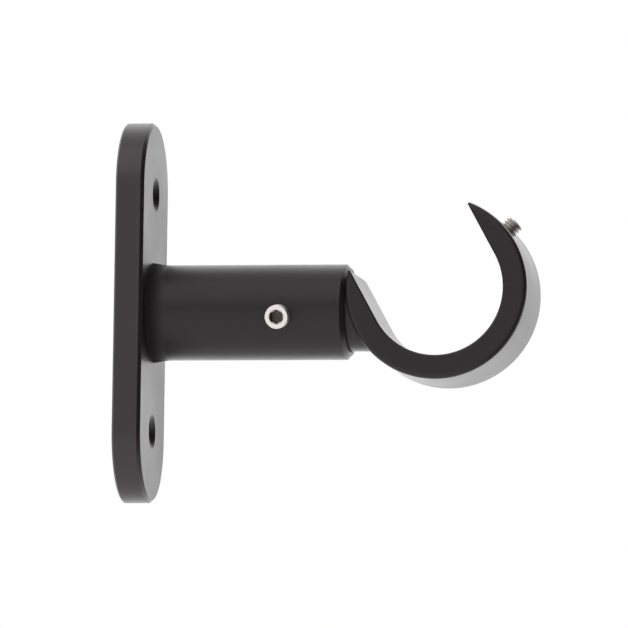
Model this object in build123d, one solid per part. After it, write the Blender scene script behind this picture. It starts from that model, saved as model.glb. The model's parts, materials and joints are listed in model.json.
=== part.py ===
from build123d import *
import math
import os

# Curtain pole bracket: an oblong wall plate, a round barrel screwed to it from behind, and an open
# hook whose stem slides in the barrel. Millimetres. The origin is on the wall, on the barrel's axis,
# with +X out from the wall, +Y along the pole and +Z up.

# Wall plate
plate_height = 80.0
plate_width = 28.0
plate_thickness = 6.0
plate_front_chamfer = 0.7
plate_back_chamfer = 0.4
wall_hole_spacing = 50.0
wall_hole_diameter = 4.6
wall_countersink_diameter = 7.4

# Barrel: the wall is what is left round the stem's bore, the web is its solid end on the plate
barrel_length = 42.0
barrel_wall = 1.7
barrel_web = 8.0
barrel_end_chamfer = 0.9
bore_mouth_chamfer = 0.3

# Hook: a crescent that leans back to the wall, cast in one with a round stem
pole_diameter = 28.0
pole_clearance = 0.15
hook_wall = 5.0
hook_depth = 20.0
hook_rise = 4.0
hook_lean = 29.0
hook_gap = 0.3
hook_rim_radius = 1.0
seat_edge_chamfer = 0.3
front_horn_radius = 0.35
back_horn_radius = 0.4
stem_diameter = 16.5
stem_clearance = 0.05
stem_end_gap = 3.0
stem_end_chamfer = 0.8
stem_cover = 0.6

# Screws: plain shanks, as large as their threads
thread_clearance = 0.05
plate_screw_diameter = 6.0
plate_screw_head_diameter = 11.0
plate_screw_recess = 0.2
plate_screw_end_gap = 1.8
plate_screw_hex = 4.0
plate_screw_socket_depth = 2.5
barrel_screw_diameter = 5.0
barrel_screw_length = 4.0
barrel_screw_hex = 2.5
barrel_screw_socket_depth = 2.0
barrel_screw_setback = 13.8
barrel_screw_drop = 11.0
barrel_screw_gap = 0.1
pole_screw_diameter = 4.0
pole_screw_length = 6.0
pole_screw_hex = 2.0
pole_screw_socket_depth = 2.0
pole_screw_angle = 44.0
pole_screw_gap = 1.1
screw_point_chamfer = 0.5
screw_rim_chamfer = 0.3

# Sizes that follow from those above
stem_radius = stem_diameter / 2
bore_radius = stem_radius + stem_clearance
barrel_radius = bore_radius + barrel_wall
barrel_end = plate_thickness + barrel_length
bore_floor = plate_thickness + barrel_web
seat_radius = pole_diameter / 2 + pole_clearance
hook_radius = seat_radius + hook_wall
hook_reach = barrel_end + hook_gap + hook_radius
stem_end = bore_floor + stem_end_gap
countersink_depth = (wall_countersink_diameter - wall_hole_diameter) / 2
plate_screw_head_height = (plate_screw_head_diameter - plate_screw_diameter) / 2
plate_screw_tip = bore_floor - plate_screw_end_gap

# Planes that the pieces are drawn on: the hook's side view, and one along each screw
drop = math.radians(barrel_screw_drop)
rise = math.radians(pole_screw_angle)
side_view = Plane(origin=(hook_reach, 0, hook_rise), x_dir=(1, 0, 0), z_dir=(0, -1, 0))
outward = Plane(origin=(0, 0, 0), x_dir=(0, 1, 0), z_dir=(1, 0, 0))
barrel_screw_axis = Plane(
    origin=(barrel_end - barrel_screw_setback, 0, 0),
    x_dir=(1, 0, 0),
    z_dir=(0, -math.cos(drop), -math.sin(drop)),
)
pole_screw_axis = Plane(
    origin=(hook_reach, 0, hook_rise),
    x_dir=(0, 1, 0),
    z_dir=(math.cos(rise), 0, math.sin(rise)),
)


def rod(radius, start, end):
    """Round bar along Z from start to end."""
    bar = Cylinder(radius, end - start, align=(Align.CENTER, Align.CENTER, Align.MIN))
    return Pos(0, 0, start) * bar


def taper(start_radius, end_radius, start, end):
    """Cone along Z from start to end."""
    cone = Cone(start_radius, end_radius, end - start, align=(Align.CENTER, Align.CENTER, Align.MIN))
    return Pos(0, 0, start) * cone


def hex_socket(across_flats, start, end):
    """Hexagonal recess along Z from start to end."""
    outline = RegularPolygon(across_flats / 2, 6, major_radius=False)
    return Pos(0, 0, start) * extrude(outline, end - start)


def make_wall_plate():
    """Oblong plate, chamfered front and back, with the wall holes and the plate screw's hole."""
    outline = SlotOverall(plate_height, plate_width, rotation=90)
    plate = outward * extrude(outline, plate_thickness)
    plate = chamfer(plate.faces().sort_by(Axis.X)[-1].edges(), plate_front_chamfer)
    plate = chamfer(plate.faces().sort_by(Axis.X)[0].edges(), plate_back_chamfer)
    mouth = plate_thickness - countersink_depth
    wall_hole = rod(wall_hole_diameter / 2, 0, plate_thickness) + taper(
        wall_hole_diameter / 2, wall_countersink_diameter / 2, mouth, plate_thickness
    )
    for height in (-wall_hole_spacing / 2, wall_hole_spacing / 2):
        plate -= outward * Pos(0, height, 0) * wall_hole
    return plate - outward * plate_screw_shape(thread_clearance, 0, plate_thickness)


def make_barrel():
    """Round bar, bored blind from its open end, with a tapped web and a tapped cross hole."""
    bar = rod(barrel_radius, plate_thickness, barrel_end)
    bar = chamfer(bar.edges().sort_by(Axis.Z)[-1], barrel_end_chamfer)
    bar -= rod(bore_radius, bore_floor, barrel_end)
    mouth_start = barrel_end - bore_mouth_chamfer
    bar -= taper(bore_radius, bore_radius + bore_mouth_chamfer, mouth_start, barrel_end)
    bar -= rod(plate_screw_diameter / 2 + thread_clearance, plate_thickness, bore_floor)
    cross_hole = rod(barrel_screw_diameter / 2 + thread_clearance, 0, 2 * barrel_radius)
    return outward * bar - barrel_screw_axis * cross_hole


def plate_screw_shape(clearance, start, end):
    """Countersunk head and shank of the plate screw along Z, larger all round by the clearance."""
    head_radius = plate_screw_head_diameter / 2 + clearance
    shank_radius = plate_screw_diameter / 2 + clearance
    neck = plate_screw_recess + plate_screw_head_height
    shape = rod(shank_radius, start, end) + taper(head_radius, shank_radius, plate_screw_recess, neck)
    if start < plate_screw_recess:
        shape += rod(head_radius, start, plate_screw_recess)
    return shape


def make_plate_screw():
    """Countersunk socket screw, its head just below the plate's back."""
    screw = plate_screw_shape(0, plate_screw_recess, plate_screw_tip)
    screw = chamfer(screw.edges().sort_by(Axis.Z)[-1], screw_point_chamfer)
    socket_end = plate_screw_recess + plate_screw_socket_depth
    return outward * (screw - hex_socket(plate_screw_hex, plate_screw_recess, socket_end))


def mouth_outline(radius):
    """Round seat that opens into a straight-sided mouth, leaning back to the wall."""
    mouth_length = 3 * hook_radius
    throat = Rectangle(2 * radius, mouth_length, align=(Align.CENTER, Align.MIN))
    return Rot(0, 0, hook_lean) * (Circle(radius) + throat)


def make_crescent():
    """Disc with rounded rims, cut open by the mouth, which leaves two tapering horns."""
    disc = extrude(Circle(hook_radius), hook_depth / 2, both=True)
    disc = fillet(disc.edges().filter_by(GeomType.CIRCLE), hook_rim_radius)
    outline = Circle(hook_radius) - mouth_outline(seat_radius)
    outline = fillet(outline.vertices().sort_by(Axis.Y)[-1], front_horn_radius)
    outline = fillet(outline.vertices().sort_by(Axis.X)[0], back_horn_radius)
    crescent = disc & extrude(outline, hook_depth / 2, both=True)
    flare_outline = mouth_outline(seat_radius + seat_edge_chamfer)
    flare = extrude(flare_outline, seat_edge_chamfer, dir=(0, 0, -1), taper=45)
    flare = Pos(0, 0, hook_depth / 2) * flare
    crescent -= flare
    crescent -= mirror(flare, Plane.XY)
    return side_view * crescent


def make_hook():
    """Crescent cast in one with its round stem, with the pole screw's tapped hole."""
    stem = rod(stem_radius, stem_end, hook_reach)
    stem = outward * chamfer(stem.edges().sort_by(Axis.Z)[0], stem_end_chamfer)
    stem -= side_view * extrude(mouth_outline(seat_radius + stem_cover), stem_diameter, both=True)
    tapped_hole = rod(pole_screw_diameter / 2 + thread_clearance, 0, 2 * hook_radius)
    return make_crescent() + stem - pole_screw_axis * tapped_hole


def make_grub_screw(diameter, length, hex_across_flats, socket_depth):
    """Headless set screw along Z, with its point at the origin and its socket at the far end."""
    screw = rod(diameter / 2, 0, length)
    screw = chamfer(screw.edges().sort_by(Axis.Z)[0], screw_point_chamfer)
    screw = chamfer(screw.edges().sort_by(Axis.Z)[-1], screw_rim_chamfer)
    return screw - hex_socket(hex_across_flats, length - socket_depth, length)


def make_barrel_grub_screw():
    """Set screw in the barrel's side, its point by the stem."""
    screw = make_grub_screw(
        barrel_screw_diameter, barrel_screw_length, barrel_screw_hex, barrel_screw_socket_depth
    )
    return barrel_screw_axis * Pos(0, 0, stem_radius + barrel_screw_gap) * screw


def make_pole_grub_screw():
    """Set screw through the hook's front horn, its point just outside the seat."""
    screw = make_grub_screw(
        pole_screw_diameter, pole_screw_length, pole_screw_hex, pole_screw_socket_depth
    )
    return pole_screw_axis * Pos(0, 0, seat_radius + pole_screw_gap) * screw


pieces = {
    "wall_plate": make_wall_plate(),
    "barrel": make_barrel(),
    "plate_screw": make_plate_screw(),
    "hook": make_hook(),
    "barrel_grub_screw": make_barrel_grub_screw(),
    "pole_grub_screw": make_pole_grub_screw(),
}
os.makedirs("parts", exist_ok=True)
for name, piece in pieces.items():
    export_step(piece, f"parts/{name}.step")
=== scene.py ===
import json
import math

import bmesh
import bpy
from mathutils import Matrix, Vector


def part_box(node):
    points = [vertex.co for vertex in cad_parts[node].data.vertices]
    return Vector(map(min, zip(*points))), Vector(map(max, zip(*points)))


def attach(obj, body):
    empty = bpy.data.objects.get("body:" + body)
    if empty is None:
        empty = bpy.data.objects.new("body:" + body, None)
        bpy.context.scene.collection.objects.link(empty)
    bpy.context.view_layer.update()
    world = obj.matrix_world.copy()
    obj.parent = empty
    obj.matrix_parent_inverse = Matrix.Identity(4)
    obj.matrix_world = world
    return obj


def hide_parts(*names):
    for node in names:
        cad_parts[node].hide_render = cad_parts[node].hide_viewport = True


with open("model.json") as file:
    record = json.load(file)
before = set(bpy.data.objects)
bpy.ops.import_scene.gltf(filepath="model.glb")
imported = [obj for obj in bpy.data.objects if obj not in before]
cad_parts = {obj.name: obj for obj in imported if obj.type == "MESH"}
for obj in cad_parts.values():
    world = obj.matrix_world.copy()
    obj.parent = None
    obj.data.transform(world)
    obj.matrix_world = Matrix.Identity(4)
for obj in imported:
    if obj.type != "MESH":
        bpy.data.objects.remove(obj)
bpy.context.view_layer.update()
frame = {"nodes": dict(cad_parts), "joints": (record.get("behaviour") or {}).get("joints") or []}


# Wall plate
# A 6 mm oblong steel plate with rounded ends, cut and drilled, with two countersunk holes for the
# wall screws. It is powder coated black, in a copy of the barrel's and the hook's coat that
# reflects a little more and is a little warmer, which is painted light for the brighter light on
# its edge.
def surface_group(name, inputs, outputs):
    """Empty shader node group with named numbers going in and coming out."""
    group = bpy.data.node_groups.new(name, "ShaderNodeTree")
    for socket in inputs:
        group.interface.new_socket(socket, in_out="INPUT", socket_type="NodeSocketFloat")
    for socket in outputs:
        group.interface.new_socket(socket, in_out="OUTPUT", socket_type="NodeSocketFloat")
    return group


def surface_noise(group, detail):
    """Noise node of a group, laid over the piece in Object coordinates."""
    place = group.nodes.new("ShaderNodeTexCoord")
    noise = group.nodes.new("ShaderNodeTexNoise")
    noise.inputs["Detail"].default_value = detail
    group.links.new(place.outputs["Object"], noise.inputs["Vector"])
    return noise


def drifting_gloss(group, noise, group_in, group_out):
    """Roughness of a group, which drifts with the noise between its smoothest and its dullest."""
    noise_low = 0.3
    noise_high = 0.7
    gloss = group.nodes.new("ShaderNodeMapRange")
    gloss.inputs["From Min"].default_value = noise_low
    gloss.inputs["From Max"].default_value = noise_high
    group.links.new(noise.outputs["Fac"], gloss.inputs["Value"])
    group.links.new(group_in.outputs["Smoothest"], gloss.inputs["To Min"])
    group.links.new(group_in.outputs["Dullest"], gloss.inputs["To Max"])
    group.links.new(gloss.outputs["Result"], group_out.inputs["Roughness"])


# Powder coat of all the coated pieces: orange peel, which is long low waves with a fine grain on
# them, and a gloss that drifts from patch to patch, in waves per metre and depths in metres
peel_waves = 620.0
peel_depth = 0.0003
grain_waves = 5200.0
grain_depth = 0.00004
patch_waves = 45.0
powder_bump_strength = 0.06
powder = surface_group("powder", ("Smoothest", "Dullest"), ("Grain", "Roughness"))
powder.interface.new_socket("Normal", in_out="OUTPUT", socket_type="NodeSocketVector")
powder_in = powder.nodes.new("NodeGroupInput")
powder_out = powder.nodes.new("NodeGroupOutput")


def powder_bump(noise, depth):
    """Bump node that follows a noise of the powder to a given depth."""
    bump = powder.nodes.new("ShaderNodeBump")
    bump.inputs["Strength"].default_value = powder_bump_strength
    bump.inputs["Distance"].default_value = depth
    powder.links.new(noise.outputs["Fac"], bump.inputs["Height"])
    return bump


peel = surface_noise(powder, detail=1.0)
peel.inputs["Scale"].default_value = peel_waves
grain = surface_noise(powder, detail=2.0)
grain.inputs["Scale"].default_value = grain_waves
patch = surface_noise(powder, detail=3.0)
patch.inputs["Scale"].default_value = patch_waves
peel_bump = powder_bump(peel, peel_depth)
grain_bump = powder_bump(grain, grain_depth)
powder.links.new(peel_bump.outputs["Normal"], grain_bump.inputs["Normal"])
powder.links.new(grain_bump.outputs["Normal"], powder_out.inputs["Normal"])
powder.links.new(grain.outputs["Fac"], powder_out.inputs["Grain"])
drifting_gloss(powder, patch, powder_in, powder_out)


def blended_colour(tree, share, dark, light):
    """Base colour of a material, from dark to light as the share grows."""
    shade = tree.nodes.new("ShaderNodeMix")
    shade.data_type = "RGBA"
    shade.inputs["A"].default_value = dark
    shade.inputs["B"].default_value = light
    tree.links.new(share, shade.inputs["Factor"])
    tree.links.new(shade.outputs["Result"], tree.nodes["Principled BSDF"].inputs["Base Color"])


def coat(name, dark, light, smoothest, dullest, refraction):
    """Powder coat, speckled between two colours and drifting between two degrees of gloss."""
    material = bpy.data.materials.new(name)
    material.use_nodes = True
    tree = material.node_tree
    shader = tree.nodes["Principled BSDF"]
    shader.inputs["IOR"].default_value = refraction
    speckle = tree.nodes.new("ShaderNodeGroup")
    speckle.name = "speckle"
    speckle.node_tree = powder
    speckle.inputs["Smoothest"].default_value = smoothest
    speckle.inputs["Dullest"].default_value = dullest
    blended_colour(tree, speckle.outputs["Grain"], dark, light)
    tree.links.new(speckle.outputs["Roughness"], shader.inputs["Roughness"])
    tree.links.new(speckle.outputs["Normal"], shader.inputs["Normal"])
    return material


# A warmer, more reflective copy of the barrel's coat: painted light for the plate's brighter edge
plate_lit_coat = coat(
    "black_coat_plate_painted_light",
    dark=(0.0175, 0.0098, 0.0125, 1.0),
    light=(0.0210, 0.0118, 0.0150, 1.0),
    smoothest=0.34,
    dullest=0.42,
    refraction=1.62,
)
wall_plate = frame["nodes"]["wall_plate"]
wall_plate.material_slots[0].material = plate_lit_coat

# Barrel
# A 20 mm round bar of coated steel, bored and chamfered at its open end for the hook's stem. Its
# solid end stands on the plate, held by a screw from behind.
satin_coat_refraction = 1.42
black_coat = coat(
    "black_coat_powder",
    dark=(0.0165, 0.0120, 0.0143, 1.0),
    light=(0.0197, 0.0144, 0.0171, 1.0),
    smoothest=0.30,
    dullest=0.38,
    refraction=satin_coat_refraction,
)
barrel = frame["nodes"]["barrel"]
barrel.material_slots[0].material = black_coat

# Corner bead
# A thin ring of the same coat in the corner where the barrel stands on the plate, thicker and dull
# there. It is coloured darker than the barrel's coat, which is painted shade for the contact shadow
# in that corner.
millimetre = 0.001
plate_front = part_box("wall_plate")[1].x / millimetre
barrel_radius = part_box("barrel")[1].y / millimetre
bead_reach = 3.5
bead_rise = 0.5
bead_curve = 1.5
bead_steps = 8
bead_segments = 96
dull_reach = 0.25 * bead_reach
dull_roughness = 0.95
thin_end_roughness = 0.34
# Darker colours than the barrel's coat: painted shade for the corner's contact shadow
corner_shade_coat = coat(
    "black_coat_corner_painted_shade",
    dark=(0.0110, 0.0080, 0.0095, 1.0),
    light=(0.0132, 0.0096, 0.0114, 1.0),
    smoothest=thin_end_roughness,
    dullest=thin_end_roughness,
    refraction=satin_coat_refraction,
)

# The bead is dull in the corner and turns as glossy as the barrel where it runs out
corner_tree = corner_shade_coat.node_tree
corner_place = corner_tree.nodes.new("ShaderNodeTexCoord")
corner_sides = corner_tree.nodes.new("ShaderNodeSeparateXYZ")
corner_tree.links.new(corner_place.outputs["Object"], corner_sides.inputs["Vector"])
corner_dulling = corner_tree.nodes.new("ShaderNodeMapRange")
corner_dulling.inputs["From Min"].default_value = millimetre * (plate_front + dull_reach)
corner_dulling.inputs["From Max"].default_value = millimetre * (plate_front + bead_reach)
corner_dulling.inputs["To Min"].default_value = dull_roughness
corner_dulling.inputs["To Max"].default_value = thin_end_roughness
corner_tree.links.new(corner_sides.outputs["X"], corner_dulling.inputs["Value"])
corner_speckle = corner_tree.nodes["speckle"]
for gloss_end in ("Smoothest", "Dullest"):
    corner_tree.links.new(corner_dulling.outputs["Result"], corner_speckle.inputs[gloss_end])

# Pieces are modelled in millimetres, and their edges stay sharp past this turn
smooth_turn = math.radians(32)


def finish_piece(bm, name, place, materials, body):
    """Closed mesh, put in its place as a piece that moves with a body."""
    bmesh.ops.recalc_face_normals(bm, faces=bm.faces[:])
    bmesh.ops.transform(bm, matrix=place @ Matrix.Scale(millimetre, 4), verts=bm.verts[:])
    for face in bm.faces:
        face.smooth = True
    mesh = bpy.data.meshes.new(name)
    bm.to_mesh(mesh)
    bm.free()
    mesh.set_sharp_from_angle(angle=smooth_turn)
    for material in materials:
        mesh.materials.append(material)
    piece = bpy.data.objects.new(name, mesh)
    bpy.context.scene.collection.objects.link(piece)
    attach(piece, body)
    return piece


bead_mesh = bmesh.new()
bead_profile = [bead_mesh.verts.new((plate_front, 0, barrel_radius))]
for step in range(bead_steps + 1):
    share = step / bead_steps
    along = plate_front + bead_reach * (1 - share)
    out = barrel_radius + bead_rise * share**bead_curve
    bead_profile.append(bead_mesh.verts.new((along, 0, out)))
bead_edges = [
    bead_mesh.edges.new(pair) for pair in zip(bead_profile, bead_profile[1:] + bead_profile[:1])
]
bmesh.ops.spin(
    bead_mesh,
    geom=bead_profile + bead_edges,
    cent=(0, 0, 0),
    axis=(1, 0, 0),
    angle=math.tau,
    steps=bead_segments,
    use_merge=True,
)
finish_piece(bead_mesh, "corner_bead_painted_shade", Matrix.Identity(4), (corner_shade_coat,), "bracket")

# Plate screw
# An M6 countersunk socket screw of plain grey steel. It goes in from the plate's back, a little
# below the face, and holds the barrel's solid end.
steel_marks_strength = 0.15
steel_marks_depth = 0.00002
steel_mottle = surface_group(
    "steel_mottle", ("Scale", "Smoothest", "Dullest"), ("Mask", "Roughness")
)
mottle_in = steel_mottle.nodes.new("NodeGroupInput")
mottle_out = steel_mottle.nodes.new("NodeGroupOutput")
mottle = surface_noise(steel_mottle, detail=3.0)
steel_mottle.links.new(mottle_in.outputs["Scale"], mottle.inputs["Scale"])
steel_mottle.links.new(mottle.outputs["Fac"], mottle_out.inputs["Mask"])
drifting_gloss(steel_mottle, mottle, mottle_in, mottle_out)


def steel(name, dark, light, mottle_waves, smoothest, dullest):
    """Bare steel, mottled between two colours and two degrees of polish."""
    material = bpy.data.materials.new(name)
    material.use_nodes = True
    tree = material.node_tree
    shader = tree.nodes["Principled BSDF"]
    shader.inputs["Metallic"].default_value = 1.0
    mottling = tree.nodes.new("ShaderNodeGroup")
    mottling.node_tree = steel_mottle
    mottling.inputs["Scale"].default_value = mottle_waves
    mottling.inputs["Smoothest"].default_value = smoothest
    mottling.inputs["Dullest"].default_value = dullest
    marks = tree.nodes.new("ShaderNodeBump")
    marks.inputs["Strength"].default_value = steel_marks_strength
    marks.inputs["Distance"].default_value = steel_marks_depth
    blended_colour(tree, mottling.outputs["Mask"], dark, light)
    tree.links.new(mottling.outputs["Roughness"], shader.inputs["Roughness"])
    tree.links.new(mottling.outputs["Mask"], marks.inputs["Height"])
    tree.links.new(marks.outputs["Normal"], shader.inputs["Normal"])
    return material


# Turned faces are bright, rolled threads greyer, and the sockets dark, which is painted shade in
# their recesses
bright_steel = steel(
    "screw_steel_bright",
    dark=(0.80, 0.76, 0.735, 1.0),
    light=(0.90, 0.865, 0.84, 1.0),
    mottle_waves=2600.0,
    smoothest=0.18,
    dullest=0.32,
)
grey_steel = steel(
    "screw_steel_thread",
    dark=(0.48, 0.445, 0.42, 1.0),
    light=(0.62, 0.58, 0.55, 1.0),
    mottle_waves=2600.0,
    smoothest=0.30,
    dullest=0.45,
)
# Dark steel for the sockets: painted shade in the recess
shaded_socket_steel = steel(
    "screw_steel_socket_painted_shade",
    dark=(0.13, 0.102, 0.09, 1.0),
    light=(0.19, 0.148, 0.13, 1.0),
    mottle_waves=3400.0,
    smoothest=0.42,
    dullest=0.58,
)

# Places of a screw's turned, rolled and broached faces among its materials
turned_face = 0
rolled_face = 1
broached_face = 2


def loop_at(bm, height):
    """Open edges of a shell that lie at one height."""
    flat = 1e-4
    return [
        edge
        for edge in bm.edges
        if edge.is_boundary and all(abs(vert.co.z - height) < flat for vert in edge.verts)
    ]


def draw_on(bm, loop, height, reach):
    """Extrudes a loop of edges to a height, each vertex at the reach that its angle gives."""
    made = bmesh.ops.extrude_edge_only(bm, edges=loop)["geom"]
    verts = [item for item in made if isinstance(item, bmesh.types.BMVert)]
    for vert in verts:
        angle = math.atan2(vert.co.y, vert.co.x)
        vert.co = (reach(angle) * math.cos(angle), reach(angle) * math.sin(angle), height)
    faces = [item for item in made if isinstance(item, bmesh.types.BMFace)]
    for face in faces:
        face.material_index = turned_face
    edges = [item for item in made if isinstance(item, bmesh.types.BMEdge)]
    return [edge for edge in edges if edge.is_boundary], faces


def close_with_cone(bm, loop, rise):
    """Fills a loop of edges with a cone of a given rise along Z."""
    face = bmesh.ops.edgeloop_fill(bm, edges=loop)["faces"]
    cone = bmesh.ops.poke(bm, faces=face)
    bmesh.ops.translate(bm, verts=cone["verts"], vec=(0, 0, rise))
    return cone["faces"]


def thread(bm, outer_radius, pitch, start, end, start_chamfer, end_chamfer):
    """Screw thread along Z, in millimetres, cut square and chamfered at its ends."""
    depth = 0.45 * pitch
    steps = 48
    early_turns = 1.5
    spare_turns = 2
    weld_distance = 1e-3
    cut_distance = 1e-5

    # One turn of the profile, in shares of the pitch
    root_flat = 1 / 4
    crest_flat = 1 / 8
    flank = (1 - root_flat - crest_flat) / 2
    root_radius = outer_radius - depth
    middle_radius = outer_radius - depth / 2
    form = (
        (0, root_radius),
        (root_flat, root_radius),
        (root_flat + flank / 2, middle_radius),
        (root_flat + flank, outer_radius),
        (root_flat + flank + crest_flat, outer_radius),
        (1 - flank / 2, middle_radius),
    )

    # The profile climbs one pitch as it spins, so it starts early and runs on past the end
    turns = math.ceil((end - start) / pitch) + spare_turns
    profile = [
        bm.verts.new((radius, 0, start + (turn - early_turns + share) * pitch))
        for turn in range(turns)
        for share, radius in form
    ]
    line = [bm.edges.new(pair) for pair in zip(profile, profile[1:])]
    bmesh.ops.spin(
        bm,
        geom=profile + line,
        cent=(0, 0, 0),
        axis=(0, 0, 1),
        dvec=(0, 0, pitch / steps),
        angle=math.tau,
        steps=steps,
    )
    bmesh.ops.remove_doubles(bm, verts=bm.verts[:], dist=weld_distance)
    for height, side in ((start, -1), (end, 1)):
        bmesh.ops.bisect_plane(
            bm,
            geom=bm.verts[:] + bm.edges[:] + bm.faces[:],
            dist=cut_distance,
            plane_co=(0, 0, height),
            plane_no=(0, 0, side),
            clear_outer=True,
        )
    for vert in bm.verts:
        into_start = vert.co.z - start - start_chamfer
        into_end = end - vert.co.z - end_chamfer
        allowed = outer_radius + min(into_start, into_end, 0)
        reach = vert.co.xy.length
        if reach > allowed:
            vert.co.xy *= allowed / reach
    for face in bm.faces:
        face.material_index = rolled_face


def hex_socket(bm, rim, across_flats, height, depth, side):
    """Flat rim, countersunk mouth, six walls and drilled floor, from the rim's outer loop."""
    sixth = math.radians(60)
    mouth_radius = 0.62 * across_flats
    mouth_depth = 0.10 * across_flats
    drill_depth = 0.2 * across_flats

    def hexagon(angle):
        return across_flats / 2 / math.cos((angle + sixth / 2) % sixth - sixth / 2)

    mouth, _ = draw_on(bm, rim, height, lambda angle: mouth_radius)
    throat, mouth_faces = draw_on(bm, mouth, height - side * mouth_depth, hexagon)
    for face in mouth_faces:
        face.material_index = rolled_face
    foot, walls = draw_on(bm, throat, height - side * depth, hexagon)
    for face in walls + close_with_cone(bm, foot, -side * drill_depth):
        face.material_index = broached_face


def screw_place(foot, axis):
    """Turns Z to a screw's axis, with the origin at its foot, which is given in millimetres."""
    turn = axis.to_track_quat("Z", "Y").to_matrix().to_4x4()
    return Matrix.Translation(millimetre * foot) @ turn


plate_screw_low, plate_screw_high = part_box("plate_screw")
head_top = plate_screw_low.x / millimetre
head_radius = plate_screw_high.y / millimetre
head_edge_height = 0.15
head_edge_chamfer = 0.12
shank_radius = 3.0
shank_pitch = 1.0
shank_start = head_top + head_radius - shank_radius
shank_tip = plate_screw_high.x / millimetre
plate_screw_mesh = bmesh.new()
thread(
    plate_screw_mesh,
    outer_radius=shank_radius,
    pitch=shank_pitch,
    start=shank_start,
    end=shank_tip,
    start_chamfer=0.0,
    end_chamfer=0.5,
)
head_side, _ = draw_on(
    plate_screw_mesh,
    loop_at(plate_screw_mesh, shank_start),
    head_top + head_edge_height,
    lambda angle: head_radius,
)
head_rim, _ = draw_on(
    plate_screw_mesh, head_side, head_top, lambda angle: head_radius - head_edge_chamfer
)
hex_socket(plate_screw_mesh, head_rim, across_flats=4.0, height=head_top, depth=2.5, side=-1)
close_with_cone(plate_screw_mesh, loop_at(plate_screw_mesh, shank_tip), rise=0.0)
plate_screw = finish_piece(
    plate_screw_mesh,
    "plate_screw_threaded",
    screw_place(foot=Vector((0, 0, 0)), axis=Vector((1, 0, 0))),
    (grey_steel, grey_steel, shaded_socket_steel),
    "bracket",
)
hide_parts("plate_screw")

# Hook
# An open crescent with two horns, cast in one with the round stem that slides in the barrel. It is
# coated like the barrel, and tapped through the front horn for the screw that holds the pole.
hook = frame["nodes"]["hook"]
hook.material_slots[0].material = black_coat


# Barrel grub screw
# A short M5 socket set screw of bright steel with a cup point. It is screwed into the barrel's
# side, a little below level, and its point holds the stem.
def set_screw(outer_radius, pitch, length, across_flats, socket_depth):
    """Headless screw along Z, with a cup point at the origin and a turned rim round its socket."""
    point_chamfer = 0.5
    cup_radius = 0.5 * outer_radius
    cup_depth = 0.3 * outer_radius
    rim_height = 0.3
    rim_slope = 0.1
    rim_inset = 0.03
    rim_chamfer = 0.08
    rim_radius = outer_radius - rim_inset
    thread_end = length - rim_height
    rim_start = thread_end + rim_slope
    bm = bmesh.new()
    thread(bm, outer_radius, pitch, 0, thread_end, point_chamfer, 0)
    cup, _ = draw_on(bm, loop_at(bm, 0), 0, lambda angle: cup_radius)
    close_with_cone(bm, cup, cup_depth)
    rim, _ = draw_on(bm, loop_at(bm, thread_end), rim_start, lambda angle: rim_radius)
    rim, _ = draw_on(bm, rim, length - rim_chamfer, lambda angle: rim_radius)
    rim, _ = draw_on(bm, rim, length, lambda angle: rim_radius - rim_chamfer)
    hex_socket(bm, rim, across_flats, height=length, depth=socket_depth, side=1)
    return bm


set_screw_steels = (bright_steel, grey_steel, shaded_socket_steel)
travel_axes = {joint["name"]: Vector(joint["axis"]) for joint in frame["joints"]}
barrel_screw_axis = travel_axes["barrel_screw_travel"]
barrel_screw_low, barrel_screw_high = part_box("barrel_grub_screw")
barrel_screw_from_wall = (barrel_screw_low.x + barrel_screw_high.x) / 2 / millimetre
barrel_screw_point_height = 8.35
barrel_screw_foot = (
    Vector((barrel_screw_from_wall, 0, 0)) + barrel_screw_point_height * barrel_screw_axis
)
barrel_grub_screw = finish_piece(
    set_screw(outer_radius=2.5, pitch=0.8, length=4.0, across_flats=2.5, socket_depth=2.0),
    "barrel_grub_screw_threaded",
    screw_place(barrel_screw_foot, barrel_screw_axis),
    set_screw_steels,
    "barrel_grub_screw",
)
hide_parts("barrel_grub_screw")

# Pole grub screw
# The same kind of screw in M4 and 6 mm long, through the hook's front horn. Its socket stands proud
# outside and its point is just short of the pole.
seat_middle = Vector((67.45, 0, 4.0))
pole_screw_axis = travel_axes["pole_screw_travel"]
pole_screw_point_height = 15.25
pole_screw_foot = seat_middle + pole_screw_point_height * pole_screw_axis
pole_grub_screw = finish_piece(
    set_screw(outer_radius=2.0, pitch=0.7, length=6.0, across_flats=2.0, socket_depth=2.0),
    "pole_grub_screw_threaded",
    screw_place(pole_screw_foot, pole_screw_axis),
    set_screw_steels,
    "pole_grub_screw",
)
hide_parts("pole_grub_screw")

# Studio
# A plain pale floor well below the bracket, which hangs as on a wall, in a white light tent that is
# brightest behind it and dark on its right, with one large soft lamp above and in front.
floor_height = -0.42
floor_half_width = 5.0
floor_mesh = bmesh.new()
bmesh.ops.create_grid(floor_mesh, x_segments=1, y_segments=1, size=floor_half_width)
bmesh.ops.translate(floor_mesh, verts=floor_mesh.verts[:], vec=(0, 0, floor_height))
floor_data = bpy.data.meshes.new("floor")
floor_mesh.to_mesh(floor_data)
floor_mesh.free()
floor = bpy.data.objects.new("floor", floor_data)
bpy.context.scene.collection.objects.link(floor)

# The floor's paper takes a shadow, is white to the camera, and in reflections fades to the right
# and brightens to the back, over stretches given in metres
front_paper_level = 1.0
right_paper_level = 0.1
right_fade_start = 0.15
right_fade_end = 0.45
back_paper_level = 1.9
back_fade_start = -0.3
back_fade_end = 0.8
paper_shadow_share = 0.3
floor_paper = bpy.data.materials.new("floor_paper")
floor_paper.use_nodes = True
paper_tree = floor_paper.node_tree
paper_shader = paper_tree.nodes["Principled BSDF"]
paper_shader.inputs["Base Color"].default_value = (0.92, 0.92, 0.92, 1.0)
paper_shader.inputs["Roughness"].default_value = 0.9
paper_shader.inputs["Specular IOR Level"].default_value = 0.1
paper_place = paper_tree.nodes.new("ShaderNodeTexCoord")
paper_sides = paper_tree.nodes.new("ShaderNodeSeparateXYZ")
paper_tree.links.new(paper_place.outputs["Object"], paper_sides.inputs["Vector"])


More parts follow.
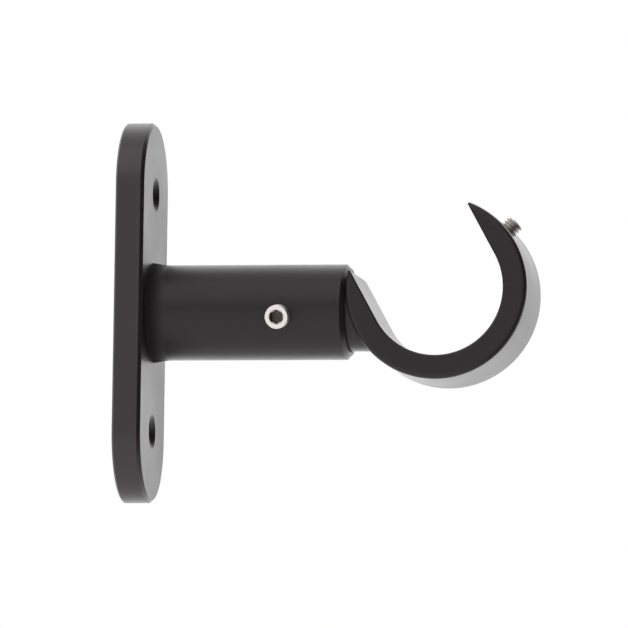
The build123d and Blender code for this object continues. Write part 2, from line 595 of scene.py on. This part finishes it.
def paper_fade(side, start, end, start_level, end_level):
    """Brightness of the floor in reflections, fading from one level to another along X or Y."""
    fade = paper_tree.nodes.new("ShaderNodeMapRange")
    fade.inputs["From Min"].default_value = start
    fade.inputs["From Max"].default_value = end
    fade.inputs["To Min"].default_value = start_level
    fade.inputs["To Max"].default_value = end_level
    paper_tree.links.new(paper_sides.outputs[side], fade.inputs["Value"])
    return fade.outputs["Result"]


to_the_right = paper_fade(
    "X", right_fade_start, right_fade_end, front_paper_level, right_paper_level
)
to_the_back = paper_fade(
    "Y", back_fade_start, back_fade_end, start_level=0.0, end_level=back_paper_level
)
paper_reflected = paper_tree.nodes.new("ShaderNodeMath")
paper_reflected.operation = "MAXIMUM"
paper_tree.links.new(to_the_right, paper_reflected.inputs[0])
paper_tree.links.new(to_the_back, paper_reflected.inputs[1])
paper_rays = paper_tree.nodes.new("ShaderNodeLightPath")
paper_level = paper_tree.nodes.new("ShaderNodeMix")
paper_level.data_type = "FLOAT"
paper_level.inputs["B"].default_value = 1.0
paper_tree.links.new(paper_rays.outputs["Is Camera Ray"], paper_level.inputs["Factor"])
paper_tree.links.new(paper_reflected.outputs["Value"], paper_level.inputs["A"])
paper_white = paper_tree.nodes.new("ShaderNodeEmission")
paper_tree.links.new(paper_level.outputs["Result"], paper_white.inputs["Strength"])
paper_share = paper_tree.nodes.new("ShaderNodeMath")
paper_share.operation = "MULTIPLY_ADD"
paper_share.use_clamp = True
paper_share.inputs[1].default_value = 1 - paper_shadow_share
paper_tree.links.new(paper_rays.outputs["Is Camera Ray"], paper_share.inputs[0])
paper_tree.links.new(paper_rays.outputs["Is Glossy Ray"], paper_share.inputs[2])
paper_mix = paper_tree.nodes.new("ShaderNodeMixShader")
paper_tree.links.new(paper_share.outputs["Value"], paper_mix.inputs["Fac"])
paper_tree.links.new(paper_shader.outputs["BSDF"], paper_mix.inputs[1])
paper_tree.links.new(paper_white.outputs["Emission"], paper_mix.inputs[2])

# Seen from below, the floor isn't there
paper_back = paper_tree.nodes.new("ShaderNodeNewGeometry")
paper_clear = paper_tree.nodes.new("ShaderNodeBsdfTransparent")
paper_side = paper_tree.nodes.new("ShaderNodeMixShader")
paper_tree.links.new(paper_back.outputs["Backfacing"], paper_side.inputs["Fac"])
paper_tree.links.new(paper_mix.outputs["Shader"], paper_side.inputs[1])
paper_tree.links.new(paper_clear.outputs["BSDF"], paper_side.inputs[2])
paper_output = paper_tree.nodes["Material Output"]
paper_tree.links.new(paper_side.outputs["Shader"], paper_output.inputs["Surface"])
floor_data.materials.append(floor_paper)

# The tent's brightness from its front to its back and from its left to its right, as places from
# -1 to 1 in the direction looked in and the levels there
front_to_back_stops = ((-1.0, 0.68), (-0.6, 0.68), (0.2, 0.95), (0.62, 1.9))
left_to_right_stops = ((-1.0, 1.1), (-0.5, 1.05), (-0.1, 1.0), (0.4, 0.9), (0.75, 0.03))
white = (1.0, 1.0, 1.0, 1.0)
studio = bpy.data.worlds.new("studio")
bpy.context.scene.world = studio
studio.use_nodes = True
studio_tree = studio.node_tree
studio_tree.nodes.clear()
studio_place = studio_tree.nodes.new("ShaderNodeTexCoord")
studio_sides = studio_tree.nodes.new("ShaderNodeSeparateXYZ")
studio_tree.links.new(studio_place.outputs["Generated"], studio_sides.inputs["Vector"])


def studio_ramp(side, stops):
    """Brightness of the tent along X or Y of the direction looked in, through the given stops."""
    share = studio_tree.nodes.new("ShaderNodeMapRange")
    share.inputs["From Min"].default_value = -1.0
    studio_tree.links.new(studio_sides.outputs[side], share.inputs["Value"])
    ramp = studio_tree.nodes.new("ShaderNodeValToRGB")
    ramp.color_ramp.interpolation = "EASE"
    while len(ramp.color_ramp.elements) < len(stops):
        ramp.color_ramp.elements.new(0.5)
    for element, (place, level) in zip(ramp.color_ramp.elements, stops):
        element.position = (place + 1) / 2
        element.color = (level, level, level, 1.0)
    studio_tree.links.new(share.outputs["Result"], ramp.inputs["Fac"])
    return ramp.outputs["Color"]


studio_level = studio_tree.nodes.new("ShaderNodeMath")
studio_level.operation = "MULTIPLY"
studio_tree.links.new(studio_ramp("Y", front_to_back_stops), studio_level.inputs[0])
studio_tree.links.new(studio_ramp("X", left_to_right_stops), studio_level.inputs[1])
studio_light = studio_tree.nodes.new("ShaderNodeBackground")
studio_light.inputs["Color"].default_value = white
studio_tree.links.new(studio_level.outputs["Value"], studio_light.inputs["Strength"])
studio_white = studio_tree.nodes.new("ShaderNodeBackground")
studio_white.inputs["Color"].default_value = white
studio_white.inputs["Strength"].default_value = 1.0
studio_rays = studio_tree.nodes.new("ShaderNodeLightPath")
studio_mix = studio_tree.nodes.new("ShaderNodeMixShader")
studio_tree.links.new(studio_rays.outputs["Is Camera Ray"], studio_mix.inputs["Fac"])
studio_tree.links.new(studio_light.outputs["Background"], studio_mix.inputs[1])
studio_tree.links.new(studio_white.outputs["Background"], studio_mix.inputs[2])
studio_output = studio_tree.nodes.new("ShaderNodeOutputWorld")
studio_tree.links.new(studio_mix.outputs["Shader"], studio_output.inputs["Surface"])

softbox_width = 1.6
softbox_watts = 4.4
softbox_place = Vector((-0.3, -1.15, 1.3))
softbox_data = bpy.data.lights.new("softbox_above", "AREA")
softbox_data.shape = "SQUARE"
softbox_data.size = softbox_width
softbox_data.energy = softbox_watts
softbox = bpy.data.objects.new("softbox_above", softbox_data)
softbox.location = softbox_place
softbox.rotation_euler = (-softbox_place).to_track_quat("-Z", "Y").to_euler()
softbox.visible_camera = False
bpy.context.scene.collection.objects.link(softbox)

# Camera
# A long lens a little below the barrel and round to its open end, turned slightly, as in the
# photograph.
sensor_width = 36.0
focal_length = 822.0
distance = 3.0
view_end = 20.0
aim = Vector((0.04006, 0, -0.00035))
azimuth = math.radians(10.18)
elevation = math.radians(-6.53)
roll = math.radians(0.91)
camera_data = bpy.data.cameras.new("camera")
camera_data.sensor_width = sensor_width
camera_data.lens = focal_length
camera_data.clip_end = view_end
camera = bpy.data.objects.new("camera", camera_data)
bpy.context.scene.collection.objects.link(camera)
bpy.context.scene.camera = camera
back = Vector(
    (
        math.sin(azimuth) * math.cos(elevation),
        -math.cos(azimuth) * math.cos(elevation),
        math.sin(elevation),
    )
)
camera.location = aim + distance * back
camera.rotation_euler = (
    (-back).to_track_quat("-Z", "Y").to_matrix() @ Matrix.Rotation(roll, 3, "Z")
).to_euler()
bpy.context.scene.view_settings.view_transform = "Standard"
